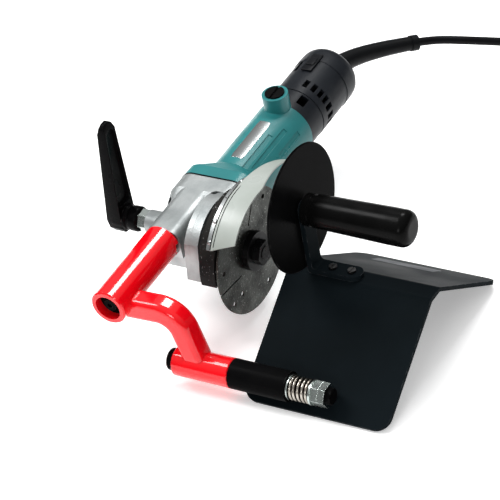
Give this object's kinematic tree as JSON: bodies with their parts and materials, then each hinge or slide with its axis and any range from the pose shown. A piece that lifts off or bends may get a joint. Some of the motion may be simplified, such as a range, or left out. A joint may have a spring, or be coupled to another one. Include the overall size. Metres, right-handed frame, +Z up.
{
  "type": "pipe cutting machine",
  "caption": "Hand-held pipe cutter: a grinder with a cutting disc hangs on a friction-held swing arm that is hinged to a saddle with a grip, and it swivels for mitre cuts.",
  "frame": {"origin": "the line where the two inner planes of the saddle's flaps would meet, in the plane of the cut", "axes": "+X along the pipe, from the blade towards the saddle; +Y to the rear, along the motor; +Z up, away from the pipe"},
  "size_m": [0.461, 0.659, 0.2124],
  "materials": {
    "saddle_black": "painted, satin",
    "teal_plastic": "moulded, half gloss",
    "lever_black": "painted casting",
    "red_paint": "gloss paint",
    "guard_white": "painted, satin",
    "guard_black": "rough black",
    "band_steel": "bare",
    "cast_alloy": "sand cast",
    "black_steel": "black oxide",
    "zinc_steel": "bright zinc",
    "spring_steel": "oiled",
    "dark_screw": "oiled",
    "bronze": "sintered",
    "black_plastic": "half gloss",
    "black_cover": "fine grain",
    "grey_plastic": "matt",
    "switch_plastic": "matt",
    "bearing_steel": "ground",
    "gear_steel": "cut and hardened",
    "core_steel": "laminated",
    "copper": "turned",
    "carbon": "pressed carbon",
    "dark_flange": "black oxide",
    "blade_steel": "worn disc",
    "boot_rubber": "moulded",
    "cord_rubber": "smooth",
    "plug_rubber": "moulded",
    "brass_pins": "bright"
  },
  "bodies": {
    "base": {"saddle_plate": "saddle_black", "shaft_sleeve": "black_steel", "sleeve_bushes": "bronze", "handle_bracket": "saddle_black", "bracket_screws": "dark_screw", "hand_guard": "black_plastic", "handle_bolt": "zinc_steel", "side_grip": "black_plastic"},
    "arm": {"swing_arm": "red_paint", "shaft_bolt": "black_steel", "friction_spring": "spring_steel", "spring_washers": "zinc_steel", "lock_nuts": "zinc_steel", "swivel_pin": "zinc_steel", "pin_washer": "black_steel", "pin_screw": "black_steel"},
    "head": {"gear_housing": "cast_alloy", "bearing_box": "cast_alloy", "box_screws": "dark_screw", "housing_screws": "dark_screw", "spindle_bearing": "bearing_steel", "spindle_bush": "bronze", "front_bearing": "bearing_steel", "rear_bearing": "bearing_steel", "stator": "core_steel", "brushes": "carbon", "brush_holders": "bronze", "brush_caps": "black_plastic", "motor_housing": "teal_plastic", "rear_cover": "black_cover", "cover_screws": "dark_screw", "switch_block": "grey_plastic", "guard_plate": "guard_black", "guard_skirt": "guard_white", "guard_band": "band_steel", "guard_rivets": "band_steel", "stop_screw": "zinc_steel", "cord_boot": "boot_rubber", "boot_collar": "boot_rubber", "cord": "cord_rubber", "cord_coil": "cord_rubber", "plug": "plug_rubber", "plug_pins": "brass_pins"},
    "lock_stud": {"lever_stud": "zinc_steel", "lever_nut": "zinc_steel"},
    "lever": {"clamp_lever": "lever_black"},
    "spindle": {"spindle": "bearing_steel", "bevel_gear": "gear_steel", "inner_flange": "zinc_steel", "blade": "blade_steel", "outer_flange": "dark_flange", "blade_nut": "zinc_steel"},
    "rotor": {"armature": "core_steel", "commutator": "copper", "fan": "grey_plastic", "pinion": "gear_steel"},
    "switch": {"switch_slider": "switch_plastic"}
  },
  "joints": [
    {"name": "arm_swing", "type": "hinge", "parent": "base", "child": "arm", "pos_m": [0, -0.11185, -0.05058], "axis": [1, 0, 0], "range_deg": [0, 70]},
    {"name": "head_swivel", "type": "hinge", "parent": "arm", "child": "head", "pos_m": [-0.07, 0.00605, 0.02376], "axis": [0, 0.9984, 0.0558], "range_deg": [-30, 0]},
    {"name": "stud_turn", "type": "hinge", "parent": "head", "child": "lock_stud", "pos_m": [-0.1, -0.01043, 0.02284], "axis": [1, 0, 0], "range_deg": [-90, 0]},
    {"name": "lever_lift", "type": "slide", "parent": "lock_stud", "child": "lever", "axis": [-1, 0, 0], "range_m": [0, 0.004], "stiffness_N_per_m": 900, "springref_m": -0.003},
    {"name": "spindle_spin", "type": "hinge", "parent": "head", "child": "spindle", "pos_m": [0, 0.0075, -0.0022], "axis": [1, 0, 0], "continuous": true},
    {"name": "rotor_spin", "type": "hinge", "parent": "head", "child": "rotor", "pos_m": [-0.062, 0.0075, -0.0022], "axis": [0, 0.9984, 0.0558], "continuous": true},
    {"name": "switch_slide", "type": "slide", "parent": "head", "child": "switch", "axis": [0, -0.9984, -0.0558], "range_m": [0, 0.008]}
  ],
  "couplings": [
    {"joint": "rotor_spin", "follows": "spindle_spin", "ratio": -3.7}
  ]
}
